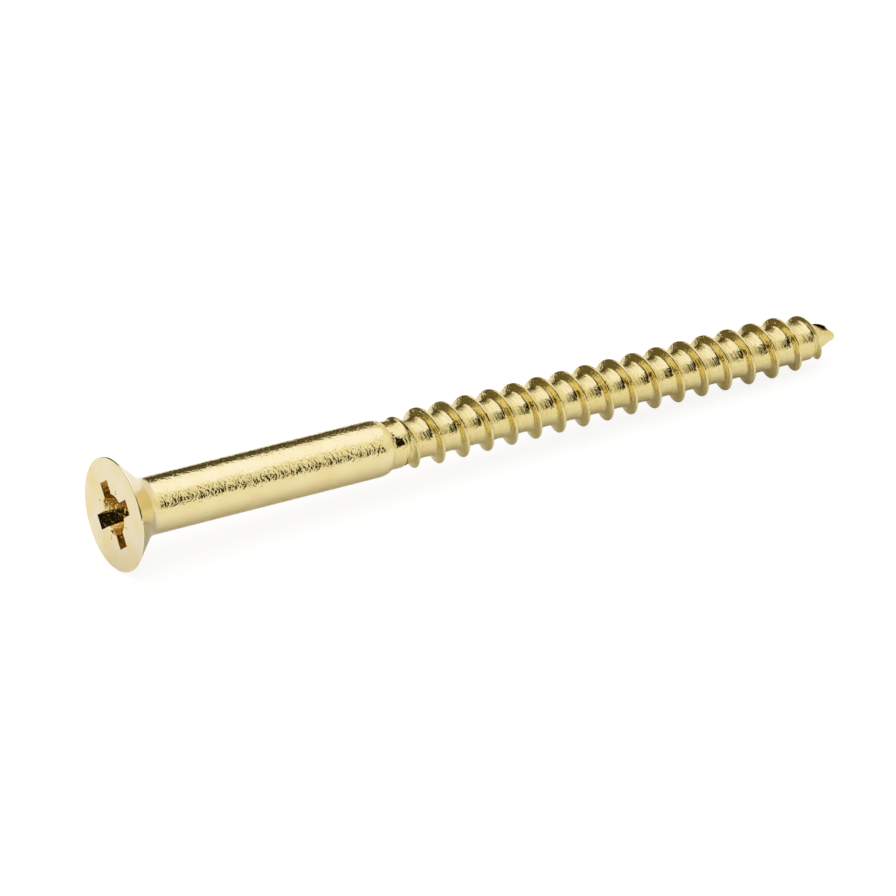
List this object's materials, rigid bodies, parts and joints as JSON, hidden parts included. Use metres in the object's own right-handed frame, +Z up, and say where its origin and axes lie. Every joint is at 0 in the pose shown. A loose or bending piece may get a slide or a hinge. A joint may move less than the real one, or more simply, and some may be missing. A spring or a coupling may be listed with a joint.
{
  "type": "countersunk wood screw",
  "caption": "Brass countersunk wood screw with a cross recess, a plain shank, a coarse rolled thread and a gimlet point.",
  "frame": {"origin": "centre of the flat head face, on the screw's axis", "axes": "+X along the screw's axis from the head face to the point, +Z up"},
  "size_m": [0.07, 0.0096, 0.0096],
  "materials": {
    "head_brass": "polished",
    "shank_brass": "polished, finely pitted",
    "thread_brass": "rolled, bright"
  },
  "bodies": {
    "root": {"head": "head_brass", "shank": "shank_brass", "shoulder": "shank_brass", "core": "thread_brass", "thread": "thread_brass", "point": "thread_brass"}
  },
  "joints": []
}
